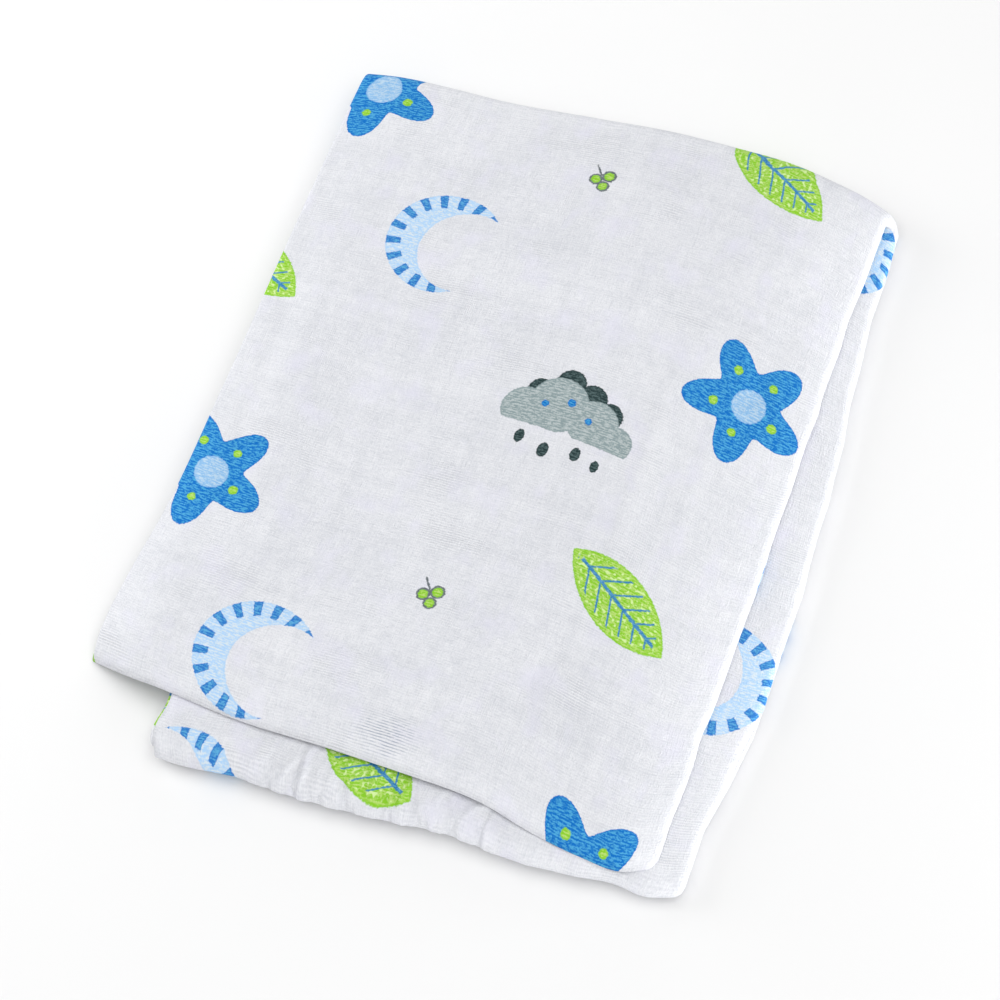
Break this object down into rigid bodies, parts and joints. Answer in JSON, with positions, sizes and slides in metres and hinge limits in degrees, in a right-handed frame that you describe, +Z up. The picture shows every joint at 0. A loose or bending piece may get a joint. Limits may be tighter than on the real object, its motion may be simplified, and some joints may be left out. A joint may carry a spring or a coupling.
{
  "type": "folded swaddle blanket",
  "caption": "Square muslin baby blanket, folded in quarters across and back and forth in thirds along, lying as a flat stack with its top section slightly askew.",
  "frame": {"origin": "centre of the bounding box, on the surface that the folded blanket lies on", "axes": "+Z up through the layers, +Y along the longer side towards the upper fold, +X across the blanket to the right"},
  "size_m": [0.336, 0.4164, 0.0308],
  "materials": {
    "muslin": "open plain-weave cotton muslin, white, matt, with a scattered ink print on its outer side"
  },
  "bodies": {
    "root": {"folded_blanket": "muslin"}
  },
  "joints": []
}
